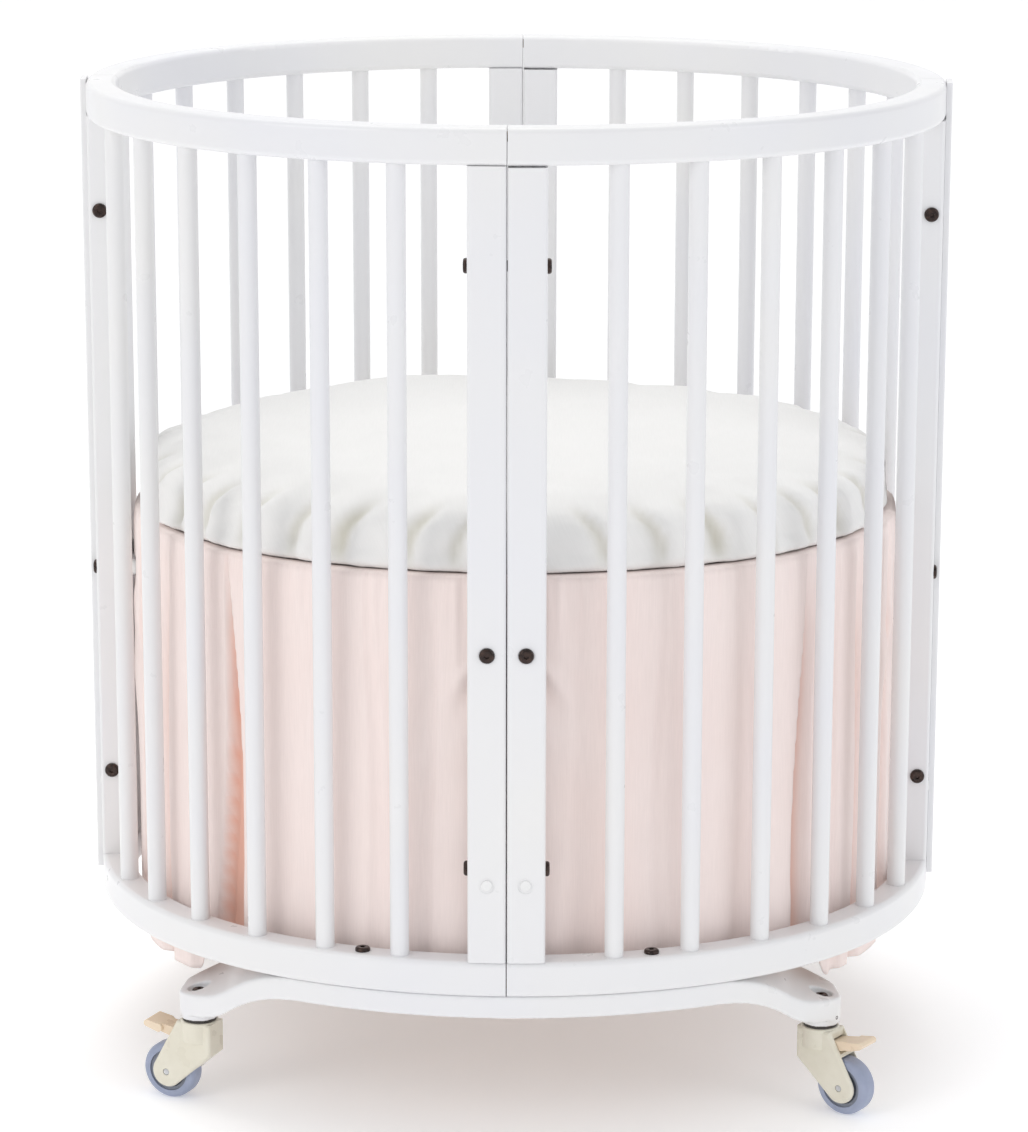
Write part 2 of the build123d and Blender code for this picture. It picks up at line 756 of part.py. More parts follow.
def make_caster(name, side, plan):
    axle = (wheel_trail, wheel_radius)
    with BuildPart() as housing:
        with BuildSketch(side.offset(-cheek_half)):
            with BuildSketch(mode=Mode.PRIVATE) as outline:
                with Locations(axle):
                    Circle(fork_radius)
                with Locations((0, dome_base + 3)):
                    Rectangle(2 * hub_radius, 28)
            add(make_hull(outline.edges(), mode=Mode.PRIVATE))
        extrude(amount=2 * cheek_half)
        faces = housing.faces().filter_by(side).group_by(Axis(side.origin, side.z_dir))
        fillet(faces[0].edges() + faces[-1].edges(), fork_edge)
        with BuildSketch(plan.offset(dome_base)):
            Circle(hub_radius)
        extrude(amount=housing_top - dome_base)
        fillet(housing.edges().filter_by(GeomType.CIRCLE).group_by(Axis.Z)[-1], dome_edge)
        ring_cut(side, axle, well_radius, well_half)
        for x, high in ((12.8, 66), (17.5, 90)):
            with BuildSketch(side.offset(-9.4)):
                with Locations(((x + 60) / 2, (54.6 + high) / 2)):
                    Rectangle(60 - x, high - 54.6)
            extrude(amount=18.8, mode=Mode.SUBTRACT)
        ring_cut(side, axle, shank_radius + run_gap, 30)
        ring_cut(side, lever_pin, lever_pin_radius + run_gap, 12)
        with BuildSketch(plan.offset(56.5)):
            Circle(stem_radius + run_gap)
        extrude(amount=30, mode=Mode.SUBTRACT)
    save(housing, f"caster_housing_{name}")

    with BuildPart() as axle_pin:
        with BuildSketch(side.offset(-axle_half)):
            with Locations(axle):
                Circle(shank_radius)
        extrude(amount=2 * axle_half)
        chamfer(axle_pin.edges().filter_by(GeomType.CIRCLE), 0.5)
    save(axle_pin, f"axle_{name}")

    with BuildPart() as hub:
        with BuildSketch(side.offset(-web_half)):
            with Locations(axle):
                Circle(rim_radius - run_gap)
        extrude(amount=2 * web_half)
        for face_side in (1, -1):
            with BuildSketch(side.offset(face_side * web_half)):
                with Locations(axle):
                    Circle(rim_radius - 3)
                    Circle(shank_radius + 4, mode=Mode.SUBTRACT)
            extrude(amount=-face_side * web_hollow, mode=Mode.SUBTRACT)
        with BuildSketch(side.offset(-hub_half)):
            with Locations(axle):
                Circle(2 * shank_radius)
        extrude(amount=2 * hub_half)
        ring_cut(side, axle, shank_radius + run_gap, 12)
    save(hub, f"wheel_{name}")

    with BuildPart() as tyre:
        with BuildSketch(side.offset(-tyre_half)):
            with Locations(axle):
                Circle(wheel_radius)
                Circle(rim_radius, mode=Mode.SUBTRACT)
        extrude(amount=2 * tyre_half)
        rims = tyre.edges().filter_by(GeomType.CIRCLE).group_by(SortBy.RADIUS)[-1]
        fillet(rims, tyre_edge)
    save(tyre, f"tyre_{name}")

    with BuildPart() as lever:
        for half, start, start_radius in (
            (arm_half, lever_pin, arm_radius),
            (pedal_half, pedal_start, pedal_radius),
        ):
            with BuildSketch(side.offset(-half)):
                with BuildSketch(mode=Mode.PRIVATE) as arm:
                    with Locations(start):
                        Circle(start_radius)
                    with Locations(lever_tip):
                        Circle(lever_tip_radius)
                add(make_hull(arm.edges(), mode=Mode.PRIVATE))
            extrude(amount=2 * half)
        with BuildSketch(side.offset(2 - cheek_half)):
            with Locations(lever_pin):
                Circle(lever_pin_radius)
        extrude(amount=2 * cheek_half - 4)
    save(lever, f"brake_lever_{name}")


for name, (sign_x, sign_y, yaw) in casters.items():
    make_caster(name, *caster_planes(sign_x, sign_y, yaw))
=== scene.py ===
import json
from math import atan2, cos, exp, hypot, pi, radians, sin

import bmesh
import bpy
from mathutils import Matrix, Vector, noise


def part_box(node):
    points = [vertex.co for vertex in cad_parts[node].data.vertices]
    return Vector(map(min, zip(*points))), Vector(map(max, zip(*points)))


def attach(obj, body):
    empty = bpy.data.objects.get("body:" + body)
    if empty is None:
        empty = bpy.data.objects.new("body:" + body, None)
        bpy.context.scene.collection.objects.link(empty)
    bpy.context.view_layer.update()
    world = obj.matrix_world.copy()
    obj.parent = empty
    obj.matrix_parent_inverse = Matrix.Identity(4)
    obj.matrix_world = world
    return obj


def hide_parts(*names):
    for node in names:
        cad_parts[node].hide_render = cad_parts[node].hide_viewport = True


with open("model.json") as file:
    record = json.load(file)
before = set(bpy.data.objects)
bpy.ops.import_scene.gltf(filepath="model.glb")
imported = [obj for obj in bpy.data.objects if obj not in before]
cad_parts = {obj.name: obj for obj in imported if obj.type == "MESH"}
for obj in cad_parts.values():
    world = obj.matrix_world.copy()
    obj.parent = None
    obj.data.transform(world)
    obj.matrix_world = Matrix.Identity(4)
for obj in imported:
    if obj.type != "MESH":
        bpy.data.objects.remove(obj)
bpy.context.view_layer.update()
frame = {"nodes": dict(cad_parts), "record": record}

# An oval baby crib: lacquered wood, a sheeted mattress, a gathered skirt and four casters.
# Metres, in the CAD frame. The front of the crib faces -Y.

nodes = frame["nodes"]

# ------------------------------------------------------------------ sizes read from the frame
_, board_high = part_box("base_board")
sheet_low, sheet_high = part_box("fitted_sheet")
skirt_low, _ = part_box("bed_skirt")
rail_low, rail_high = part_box("bottom_rail_front_right")
half_length = rail_high.x  # half the oval, to the outside of the rails
half_width = -rail_low.y
end_radius = 0.325  # the oval's two end arcs
cloth_inset = 0.036  # runs round the oval are measured this far inside it
bolt_z = 0.434  # height of the base bolts
bolt_x = 0.016  # of the base bolts from the middle of the front and rear
bolt_y = 0.038  # and from the middle of the two ends
end_centre = half_length - end_radius
side_radius = (half_length**2 - 2 * half_length * end_radius + half_width**2) / (
    2 * (half_width - end_radius)
)
side_centre = half_width - side_radius
meet = atan2(-side_centre, end_centre)  # normal angle where an end arc meets a side arc


# ------------------------------------------------------------------ the oval
def side_run(inset):
    return (pi / 2 - meet) * (side_radius - inset)


def quarter_run(inset):
    return side_run(inset) + meet * (end_radius - inset)


def oval_at(run, inset, reference=cloth_inset):
    """(point, outward normal) on the inset oval. run is the distance from the middle of the
    front, positive to the right, measured on the oval at the reference inset."""
    quarter = quarter_run(reference)
    run = (run + 2 * quarter) % (4 * quarter) - 2 * quarter
    right = 1 if run >= 0 else -1
    run = abs(run)
    front = run <= quarter
    if not front:
        run = 2 * quarter - run
    if run < side_run(reference):
        angle = pi / 2 - run / (side_radius - reference)
        centre, radius = Vector((0, side_centre)), side_radius - inset
    else:
        angle = meet - (run - side_run(reference)) / (end_radius - reference)
        centre, radius = Vector((end_centre, 0)), end_radius - inset
    normal = Vector((cos(angle), sin(angle)))
    point = centre + normal * radius
    flip = Vector((right, -1 if front else 1))
    return point * flip, normal * flip


def inset_at(x, y):
    """How far inside the rails' outer oval a plan point lies."""
    x, y = abs(x), abs(y)
    if atan2(y - side_centre, x) > meet:
        return side_radius - hypot(x, y - side_centre)
    return end_radius - hypot(x - end_centre, y)


def bell(value):
    return exp(-value * value)


def smooth(low, high, value):
    t = min(max((value - low) / (high - low), 0.0), 1.0)
    return t * t * (3 - 2 * t)


# ------------------------------------------------------------------ material helpers
def new_material(name):
    material = bpy.data.materials.new(name)
    material.use_nodes = True
    tree = material.node_tree
    return material, tree, tree.nodes["Principled BSDF"]


def add_node(tree, kind, inputs=None, **settings):
    node = tree.nodes.new(kind)
    for key, value in settings.items():
        setattr(node, key, value)
    for key, value in (inputs or {}).items():
        if isinstance(value, bpy.types.NodeSocket):
            tree.links.new(value, node.inputs[key])
        else:
            node.inputs[key].default_value = value
    return node


def object_coords(tree, scale=(1, 1, 1)):
    coords = add_node(tree, "ShaderNodeTexCoord")
    mapping = add_node(tree, "ShaderNodeMapping", {"Vector": coords.outputs["Object"], "Scale": scale})
    return mapping.outputs["Vector"]


def noise_value(tree, vector, scale, detail=3.0, roughness=0.55):
    inputs = {"Vector": vector, "Scale": scale, "Detail": detail, "Roughness": roughness}
    return add_node(tree, "ShaderNodeTexNoise", inputs).outputs["Fac"]


def remap(tree, value, low, high, start=0.3, stop=0.7):
    inputs = {"Value": value, "From Min": start, "From Max": stop, "To Min": low, "To Max": high}
    return add_node(tree, "ShaderNodeMapRange", inputs).outputs["Result"]


def blend_colours(tree, value, first, second, start=0.3, stop=0.7):
    ramp = add_node(tree, "ShaderNodeValToRGB", {"Fac": value})
    ramp.color_ramp.elements[0].position = start
    ramp.color_ramp.elements[1].position = stop
    ramp.color_ramp.elements[0].color = (*first, 1)
    ramp.color_ramp.elements[1].color = (*second, 1)
    return ramp.outputs["Color"]


def bump(tree, height, strength, distance, below=None):
    inputs = {"Height": height, "Strength": strength, "Distance": distance}
    if below is not None:
        inputs["Normal"] = below
    return add_node(tree, "ShaderNodeBump", inputs).outputs["Normal"]


def set_sockets(shader, values):
    for key, value in values.items():
        shader.inputs[key].default_value = value


# ------------------------------------------------------------------ materials
def lacquer_material():
    """Sprayed satin lacquer on beech: a faint orange peel over a fainter grain."""
    material, tree, shader = new_material("white_lacquer")
    here = object_coords(tree)
    tint = noise_value(tree, here, 5.0, 2.0)
    colour = blend_colours(tree, tint, (0.800, 0.803, 0.832), (0.832, 0.828, 0.822))
    tree.links.new(colour, shader.inputs["Base Color"])
    cloud = noise_value(tree, here, 38.0, 4.0)
    tree.links.new(remap(tree, cloud, 0.27, 0.40), shader.inputs["Roughness"])
    grain = noise_value(tree, object_coords(tree, (1, 1, 0.05)), 420.0, 3.0)
    peel = noise_value(tree, here, 620.0, 2.0)
    under = bump(tree, grain, 0.05, 0.0004)
    tree.links.new(bump(tree, peel, 0.07, 0.0003, under), shader.inputs["Normal"])
    set_sockets(shader, {"Coat Weight": 0.22, "Coat Roughness": 0.16, "IOR": 1.5})
    return material


def bronze_material():
    """Dark bronze coated steel, rubbed a little brighter in places."""
    material, tree, shader = new_material("bronze_steel")
    here = object_coords(tree)
    wear = noise_value(tree, here, 260.0, 4.0)
    colour = blend_colours(tree, wear, (0.022, 0.013, 0.011), (0.075, 0.042, 0.032), 0.4, 0.75)
    tree.links.new(colour, shader.inputs["Base Color"])
    tree.links.new(remap(tree, wear, 0.24, 0.42), shader.inputs["Roughness"])
    grit = noise_value(tree, here, 1500.0, 2.0)
    tree.links.new(bump(tree, grit, 0.12, 0.0002), shader.inputs["Normal"])
    set_sockets(shader, {"Metallic": 0.75, "Coat Weight": 0.3, "Coat Roughness": 0.2})
    return material


def zinc_material():
    material, tree, shader = new_material("zinc_steel")
    here = object_coords(tree)
    spangle = noise_value(tree, here, 180.0, 3.0)
    colour = blend_colours(tree, spangle, (0.50, 0.51, 0.53), (0.68, 0.69, 0.70))
    tree.links.new(colour, shader.inputs["Base Color"])
    tree.links.new(remap(tree, spangle, 0.28, 0.46), shader.inputs["Roughness"])
    brushed = noise_value(tree, object_coords(tree, (1, 1, 12)), 300.0, 2.0)
    tree.links.new(bump(tree, brushed, 0.1, 0.0002), shader.inputs["Normal"])
    set_sockets(shader, {"Metallic": 1.0})
    return material


def beech_material():
    """Sealed birch plywood: long grain with darker streaks."""
    material, tree, shader = new_material("beech")
    long_grain = noise_value(tree, object_coords(tree, (1, 14, 14)), 9.0, 5.0, 0.6)
    colour = blend_colours(tree, long_grain, (0.52, 0.35, 0.20), (0.76, 0.58, 0.39), 0.35, 0.65)
    tree.links.new(colour, shader.inputs["Base Color"])
    pores = noise_value(tree, object_coords(tree, (1, 20, 20)), 60.0, 3.0)
    tree.links.new(remap(tree, pores, 0.42, 0.62), shader.inputs["Roughness"])
    tree.links.new(bump(tree, pores, 0.15, 0.0003), shader.inputs["Normal"])
    return material


def plastic_material(name, first, second, rough_low, rough_high, coat=0.0, grit_scale=900.0):
    """Moulded plastic with uneven colour and a fine spark-eroded texture."""
    material, tree, shader = new_material(name)
    here = object_coords(tree)
    cloud = noise_value(tree, here, 45.0, 3.0)
    tree.links.new(blend_colours(tree, cloud, first, second), shader.inputs["Base Color"])
    tree.links.new(remap(tree, cloud, rough_low, rough_high), shader.inputs["Roughness"])
    grit = noise_value(tree, here, grit_scale, 3.0)
    tree.links.new(bump(tree, grit, 0.10, 0.0002), shader.inputs["Normal"])
    set_sockets(shader, {"Coat Weight": coat, "Coat Roughness": 0.2, "IOR": 1.46})
    return material


def woven_bump(tree, pitch, strength, distance):
    """Plain weave: threads along the run of the cloth and across it."""
    coords = add_node(tree, "ShaderNodeUVMap", uv_map="cloth").outputs["UV"]
    threads = 1.0 / pitch
    waves = []
    for direction in ("X", "Y"):
        inputs = {"Vector": coords, "Scale": threads / 6.2832 * pi, "Distortion": 0.4, "Detail": 1.0}
        inputs["Detail Scale"] = 3.0
        waves.append(
            add_node(tree, "ShaderNodeTexWave", inputs, bands_direction=direction).outputs["Fac"]
        )
    mixed = add_node(tree, "ShaderNodeMath", {0: waves[0], 1: waves[1]}, operation="MULTIPLY")
    return bump(tree, mixed.outputs["Value"], strength, distance)


def cloth_material(name, first, second, fold_shade_colour, pitch, sheen, sheen_tint, slub=0.25):
    """Woven cotton. Painted shade: the colour darkens in folds towards a fold-shade colour, by the mesh's own
    painted fold-shade values.
    """
    material, tree, shader = new_material(name)
    coords = add_node(tree, "ShaderNodeUVMap", uv_map="cloth").outputs["UV"]
    cloud = noise_value(tree, coords, 7.0, 4.0)
    base = blend_colours(tree, cloud, first, second)
    stretched = add_node(tree, "ShaderNodeMapping", {"Vector": coords, "Scale": (1.0, 0.04, 1.0)})
    threads = noise_value(tree, stretched.outputs["Vector"], 900.0, 2.0)
    tone = remap(tree, threads, 1.0 - 0.08 * slub, 1.0 + 0.04 * slub)
    shaded = add_node(tree, "ShaderNodeMix", data_type="RGBA", blend_type="MULTIPLY")
    shaded.inputs["Factor"].default_value = 1.0
    tree.links.new(base, shaded.inputs[6])
    tree.links.new(tone, shaded.inputs[7])
    # painted shade: the cloth's colour goes towards the fold-shade colour where the mesh's fold-shade value
    # is high
    fold_shade = add_node(tree, "ShaderNodeAttribute", attribute_name="fold_shade").outputs["Fac"]
    fold_shaded = add_node(tree, "ShaderNodeMix", data_type="RGBA")
    tree.links.new(fold_shade, fold_shaded.inputs["Factor"])
    tree.links.new(shaded.outputs[2], fold_shaded.inputs[6])
    fold_shaded.inputs[7].default_value = (*fold_shade_colour, 1)
    tree.links.new(fold_shaded.outputs[2], shader.inputs["Base Color"])
    fuzz = noise_value(tree, coords, 120.0, 3.0)
    tree.links.new(remap(tree, fuzz, 0.78, 0.92), shader.inputs["Roughness"])
    weave = woven_bump(tree, pitch, 0.35, 0.0003)
    creases = noise_value(tree, coords, 34.0, 5.0, 0.6)
    tree.links.new(bump(tree, creases, 0.14, 0.0015, weave), shader.inputs["Normal"])
    set_sockets(shader, {"Sheen Weight": sheen, "Sheen Roughness": 0.45, "Sheen Tint": (*sheen_tint, 1)})
    return material


materials = {
    "white_lacquer": lacquer_material(),
    "bronze_steel": bronze_material(),
    "zinc_steel": zinc_material(),
    "beech": beech_material(),
    "white_plastic": plastic_material("white_plastic", (0.80, 0.80, 0.80), (0.86, 0.86, 0.85), 0.3, 0.45),
    "cream_plastic": plastic_material(
        "cream_plastic", (0.74, 0.70, 0.58), (0.80, 0.765, 0.65), 0.24, 0.38, 0.2
    ),
    "peach_plastic": plastic_material(
        "peach_plastic", (0.80, 0.64, 0.47), (0.86, 0.72, 0.55), 0.26, 0.40, 0.2
    ),
    "dark_plastic": plastic_material("dark_plastic", (0.03, 0.027, 0.024), (0.06, 0.05, 0.045), 0.4, 0.6),
    "grey_plastic": plastic_material("grey_plastic", (0.20, 0.22, 0.27), (0.28, 0.30, 0.36), 0.35, 0.5),
    "grey_tyre": plastic_material(
        "grey_tyre", (0.30, 0.34, 0.46), (0.38, 0.42, 0.55), 0.45, 0.62, 0.0, 500.0
    ),
    # each cloth's third colour is the painted shade that its folds and creases darken to
    "mattress_ticking": cloth_material(
        "mattress_ticking", (0.76, 0.75, 0.71), (0.82, 0.81, 0.78), (0.6, 0.58, 0.52), 0.0016, 0.2, (1, 1, 1)
    ),
    "white_cotton": cloth_material(
        "white_cotton", (0.885, 0.88, 0.865), (0.90, 0.895, 0.88), (0.68, 0.66, 0.58), 0.0010, 0.25, (1, 1, 1)
    ),
    "pink_cotton": cloth_material(
        "pink_cotton", (0.955, 0.825, 0.785), (0.965, 0.850, 0.815), (0.90, 0.56, 0.45), 0.0012, 0.30,
        (1.0, 0.90, 0.87), 0.35,
    ),
}

slot_of = {part["node"]: part["material_slot"] for part in frame["record"]["subparts"]}
for node_name, node in nodes.items():
    node.data.materials.clear()
    node.data.materials.append(materials[slot_of[node_name]])
    for polygon in node.data.polygons:
        polygon.material_index = 0


# ------------------------------------------------------------------ mesh helpers
def new_piece(name, bm, slot, body):
    mesh = bpy.data.meshes.new(name)
    bm.to_mesh(mesh)
    bm.free()
    for polygon in mesh.polygons:
        polygon.use_smooth = True
    piece = bpy.data.objects.new(name, mesh)
    bpy.context.scene.collection.objects.link(piece)
    mesh.materials.append(materials[slot])
    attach(piece, body)
    return piece


def thicken(piece, thickness, offset=0.0):
    solid = piece.modifiers.new("thickness", "SOLIDIFY")
    solid.thickness = thickness
    solid.offset = offset


def evaluated_mesh(piece):
    depsgraph = bpy.context.evaluated_depsgraph_get()
    return bpy.data.meshes.new_from_object(piece.evaluated_get(depsgraph))


# ------------------------------------------------------------------ bed skirt
# A pleat: where it is along the run, its width at the top and at the hem, its depth, and how
# sharp its left and right walls are (small is sharp).
pleats = [
    (-0.253, 0.004, 0.034, 0.016, 0.10, 0.14),
    (0.273, 0.014, 0.030, 0.012, 0.10, 0.75),
    (-0.352, 0.020, 0.030, 0.012, 0.60, 0.12),
    (0.352, 0.016, 0.026, 0.012, 0.15, 0.60),
    (-0.418, 0.014, 0.034, 0.010, 0.35, 0.35),
    (0.420, 0.016, 0.030, 0.011, 0.40, 0.30),
    (-0.575, 0.012, 0.032, 0.012, 0.25, 0.50),
    (0.590, 0.012, 0.032, 0.012, 0.50, 0.20),
    (-0.700, 0.010, 0.036, 0.014, 0.15, 0.20),
    (0.715, 0.010, 0.034, 0.014, 0.18, 0.15),
    (-0.820, 0.012, 0.028, 0.009, 0.50, 0.30),
    (0.830, 0.012, 0.028, 0.009, 0.35, 0.50),
    (-0.180, 0.020, 0.044, 0.0034, 0.5, 0.5),
    (-0.112, 0.012, 0.024, 0.0030, 0.5, 0.4),
    (-0.064, 0.008, 0.016, 0.0020, 0.4, 0.5),
    (0.060, 0.018, 0.046, 0.0034, 0.5, 0.5),
    (0.130, 0.010, 0.022, 0.0024, 0.4, 0.5),
    (0.206, 0.016, 0.034, 0.0030, 0.5, 0.4),
    (-0.302, 0.010, 0.024, 0.0050, 0.4, 0.5),
    (0.312, 0.010, 0.022, 0.0050, 0.5, 0.4),
]
skirt_inset = 0.0355
hem_band = 0.018  # the hem is stitched this far above its edge
skirt_cloth = 0.0007  # thickness of the cloth
turn_in = 0.016  # of the top edge over the base board
end_crease = 0.040  # run from the middle of an end to where its bolt creases start
bolt_hole = 0.0082  # radius of the holes round the base bolts' spacers


def pleat_depth(run, drop):
    """Depth of the pleats at this place; drop is 0 at the top of the skirt and 1 at its hem."""
    total = 0.0
    for place, top, hem, depth, left, right in pleats:
        width = top + (hem - top) * drop
        across = (run - place + 0.004 * sin(5 * drop + 40 * place)) / width + 0.5
        if 0 < across < 1:
            wall = smooth(0, left, across) * smooth(0, right, 1 - across)
            total += depth * wall * smooth(0.0, 0.5, drop + 0.12)
    return total


def soft_folds(run, drop, turn):
    """Broad, shallow folds that grow towards the hem."""
    around = Vector((cos(turn), sin(turn), 0))
    slow = noise.noise(around * 3.1 + Vector((0, 0, 0.5 * drop)))
    middle = noise.noise(around * 7.3 + Vector((3, 0, 0.35 * drop)))
    fine = noise.noise(around * 17.0 + Vector((9, 0, 0.6 * drop)))
    reach = 0.35 + 0.65 * smooth(0.0, 0.7, drop)
    return reach * (0.0026 * slow + 0.0030 * middle + 0.0005 * fine)


def gathers(turn, drop):
    """Small gathers under the top edge that fade out."""
    around = Vector((cos(turn), sin(turn), 0))
    ruffle = noise.noise(around * 46.0 + Vector((0, 0, 0.8 * drop)))
    return 0.0016 * ruffle * (1 - smooth(0.02, 0.30, drop))


def base_bolt_runs():
    """Runs from which the creases of the eight base bolts fan out."""
    quarter = quarter_run(cloth_inset)
    front = [-bolt_x, bolt_x]
    ends = [quarter - end_crease, quarter + end_crease, end_crease - quarter, -quarter - end_crease]
    return front + ends + [2 * quarter - bolt_x, bolt_x - 2 * quarter]


bolt_runs = base_bolt_runs()


def bolt_pull(run, z):
    """Soft creases that fan down from where the base bolts pass the cloth."""
    total = 0.0
    below = bolt_z - z
    for bolt in bolt_runs:
        aside = run - bolt
        distance = hypot(aside, below)
        if 0.004 < distance < 0.20 and below > -0.05:
            fan = atan2(aside, below)
            fade = smooth(0.004, 0.03, distance) * (1 - smooth(0.06, 0.20, distance))
            total += 0.0022 * fade * cos(9.0 * fan) * (1 - smooth(0.5, 1.2, abs(fan)))
    return total


def hem_height(point):
    """The hem rests a little higher where it lies over the legs' pads."""
    over_pad = smooth(0.186, 0.199, abs(point.x)) * (1 - smooth(0.258, 0.270, abs(point.x)))
    return skirt_low.z + 0.0285 * over_pad


def make_skirt():
    quarter = quarter_run(cloth_inset)
    columns = 1400
    rows = 84
    top = board_high.z + 0.0004
    bm = bmesh.new()
    fold_shade_layer = bm.verts.layers.float.new("fold_shade")
    uv_layer = bm.loops.layers.uv.new("cloth")
    grid = []
    for i in range(columns):
        run = -2 * quarter + 4 * quarter * i / columns
        turn = 2 * pi * i / columns
        foot, _ = oval_at(run, skirt_inset)
        hem = hem_height(foot)
        column = []
        # the top edge turns in over the base board
        for tuck in (turn_in, 0.010, 0.0055):
            point, _ = oval_at(run, skirt_inset + tuck)
            column.append((Vector((point.x, point.y, top)), 0.0))
        for j in range(rows + 1):
            drop = j / rows
            z = top - 0.0015 - (top - 0.0015 - hem) * drop
            depth = pleat_depth(run, drop)
            ripple = soft_folds(run, drop, turn) + gathers(turn, drop) + bolt_pull(run, z)
            stitched = 0.0004 if abs(z - hem - hem_band) < 0.0022 else 0.0
            near_bolt = 1 - smooth(0.0, 0.02, abs(z - bolt_z))
            inset = skirt_inset - 0.0015 * smooth(0, 0.04, drop) + depth - ripple + stitched
            inset = min(max(inset, 0.0275), 0.0415 if near_bolt > 0 and depth < 0.002 else 0.056)
            point, _ = oval_at(run, inset)
            # painted shade: darker in the deep pleats and, faintly, where the ripples sink inwards
            shade = 0.95 * smooth(0.004, 0.015, depth) + 0.10 * smooth(0.0, 0.004, -ripple)
            column.append((Vector((point.x, point.y, z)), shade))
        grid.append(column)
    verts = []
    for column in grid:
        made = []
        for place, shade in column:
            vert = bm.verts.new(place)
            vert[fold_shade_layer] = shade
            made.append(vert)
        verts.append(made)
    for i in range(columns):
        after = verts[(i + 1) % columns]
        for j in range(len(verts[i]) - 1):
            face = bm.faces.new((verts[i][j], verts[i][j + 1], after[j + 1], after[j]))
            for loop in face.loops:
                across = i + 1 if loop.vert in (after[j], after[j + 1]) else i
                loop[uv_layer].uv = (across / columns * 4 * quarter, loop.vert.co.z)
    # the base bolts' spacers pass through small holes
    bmesh.ops.delete(bm, geom=[v for v in bm.verts if at_bolt(v.co)], context="VERTS")
    piece = new_piece("gathered_skirt", bm, "pink_cotton", "frame")
    thicken(piece, skirt_cloth)
    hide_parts("bed_skirt")
    return piece


def at_bolt(place):
    """True where a base bolt's spacer crosses the skirt."""
    up = place.z - bolt_z
    side = hypot(abs(place.x) - bolt_x, up) < bolt_hole and abs(place.y) > 0.25
    end = hypot(abs(place.y) - bolt_y, up) < bolt_hole and abs(place.x) > 0.25
    return side or end


# ------------------------------------------------------------------ mattress and fitted sheet
sheet_cloth = 0.0006  # thickness of the cloth
pad_gap = 0.0022  # from the cover's surface in to the foam pad
rim_out = 0.0042  # most that the sheet's lower rim bulges outwards
rim_down = 0.0062  # and sags
peak_place = (-0.11, 0.23)  # a soft rise of the sheet near the rear
peak_spread = 0.075
peak_height = 0.0055


def pad_block(name, inset, low, high, edge):
    """Closed oval block with a rounded upper edge, as a polar grid."""
    bm = bmesh.new()
    around = 240
    profile = [(inset + edge * (1 - cos(a)), high - edge * (1 - sin(a)))
               for a in (radians(15 * k) for k in range(7))]
    profile = [(inset + 0.006, low), (inset + 0.001, low + 0.004)] + profile
    rings = []
    for ring_inset, z in profile:
        ring = []
        for i in range(around):
            point, _ = oval_at(4 * quarter_run(cloth_inset) * i / around, ring_inset)
            ring.append(bm.verts.new((point.x, point.y, z)))
        rings.append(ring)
    for lower, upper in zip(rings, rings[1:]):
        for i in range(around):
            k = (i + 1) % around
            bm.faces.new((lower[i], lower[k], upper[k], upper[i]))
    bm.faces.new(list(reversed(rings[0])))
    bm.faces.new(rings[-1])
    bmesh.ops.recalc_face_normals(bm, faces=bm.faces)
    mesh = bpy.data.meshes.new(name)
    bm.to_mesh(mesh)
    bm.free()
    block = bpy.data.objects.new(name, mesh)
    bpy.context.scene.collection.objects.link(block)
    remesh = block.modifiers.new("voxels", "REMESH")
    remesh.mode = "VOXEL"
    remesh.voxel_size = 0.006
    block.data = evaluated_mesh(block)
    block.modifiers.clear()
    return block


def lobe_push(place):
    """Outward push that starts the puckers round the edge of the sheet."""
    turn = atan2(place.y / half_width, place.x / half_length)
    around = Vector((cos(turn), sin(turn), 0))
    lean = 0.10 * (place.z - 0.52) / 0.02
    skew = Vector((-sin(turn), cos(turn), 0)) * lean
    return noise.noise((around + skew * 0.25) * 9.0) + 0.5 * noise.noise((around + skew * 0.2) * 21.0)


def simulate_cover(block, pressure, frames, reach):
    """Inflates the cover against its pinned underside and keeps the result."""
    mesh = block.data
    rest = [vert.co.copy() for vert in mesh.vertices]
    pinned = block.vertex_groups.new(name="pinned")
    for vert in mesh.vertices:
        if vert.co.z < sheet_low.z + 0.006:
            pinned.add([vert.index], 1.0, "REPLACE")
    cloth = block.modifiers.new("cover", "CLOTH")
    settings = cloth.settings
    settings.quality = 6
    settings.mass = 0.25
    settings.tension_stiffness = 18
    settings.compression_stiffness = 6
    settings.shear_stiffness = 5
    settings.bending_stiffness = 0.15
    settings.use_pressure = True
    settings.uniform_pressure_force = pressure
    settings.vertex_group_mass = "pinned"
    settings.effector_weights.gravity = 0
    cloth.collision_settings.use_collision = False
    scene = bpy.context.scene
    for step in range(1, frames + 1):
        scene.frame_set(step)
    moved = evaluated_mesh(block)
    scene.frame_set(1)
    block.modifiers.clear()
    for index, vert in enumerate(moved.vertices):
        step = vert.co - rest[index]
        if step.length > reach:
            step *= reach / step.length
        vert.co = rest[index] + step
    block.data = moved


def crease_depth(run, z, creases):
    """Depth of the crescent creases in the sheet's edge."""
    total = 0.0
    level = (z - sheet_low.z) / (sheet_high.z - sheet_low.z)
    for place, size, lean in creases:
        bow = lean * (level - 0.25) ** 2
        across = (run - place - bow) / (0.0085 * size)
        if abs(across) < 3:
            valley = bell(across)
            shoulder = 0.55 * bell(across - 1.7)
            window = smooth(-0.05, 0.35, level) * (1 - smooth(0.75, 1.02, level))
            total += size * (valley - shoulder) * window
    return 0.0066 * total


def rim_sag(run, z, inset):
    """How far, from 0 to 1, the sheet's lower rim has slipped outwards and down."""
    turn = run / quarter_run(cloth_inset) * pi / 2
    around = Vector((cos(turn), sin(turn), 0))
    lobe = smooth(-0.25, 0.35, noise.noise(around * 6.5) + 0.4 * noise.noise(around * 17.0))
    level = (z - sheet_low.z) / (sheet_high.z - sheet_low.z)
    return lobe * (1 - smooth(0.10, 0.62, level)) * (1 - smooth(0.0385, 0.0450, inset))


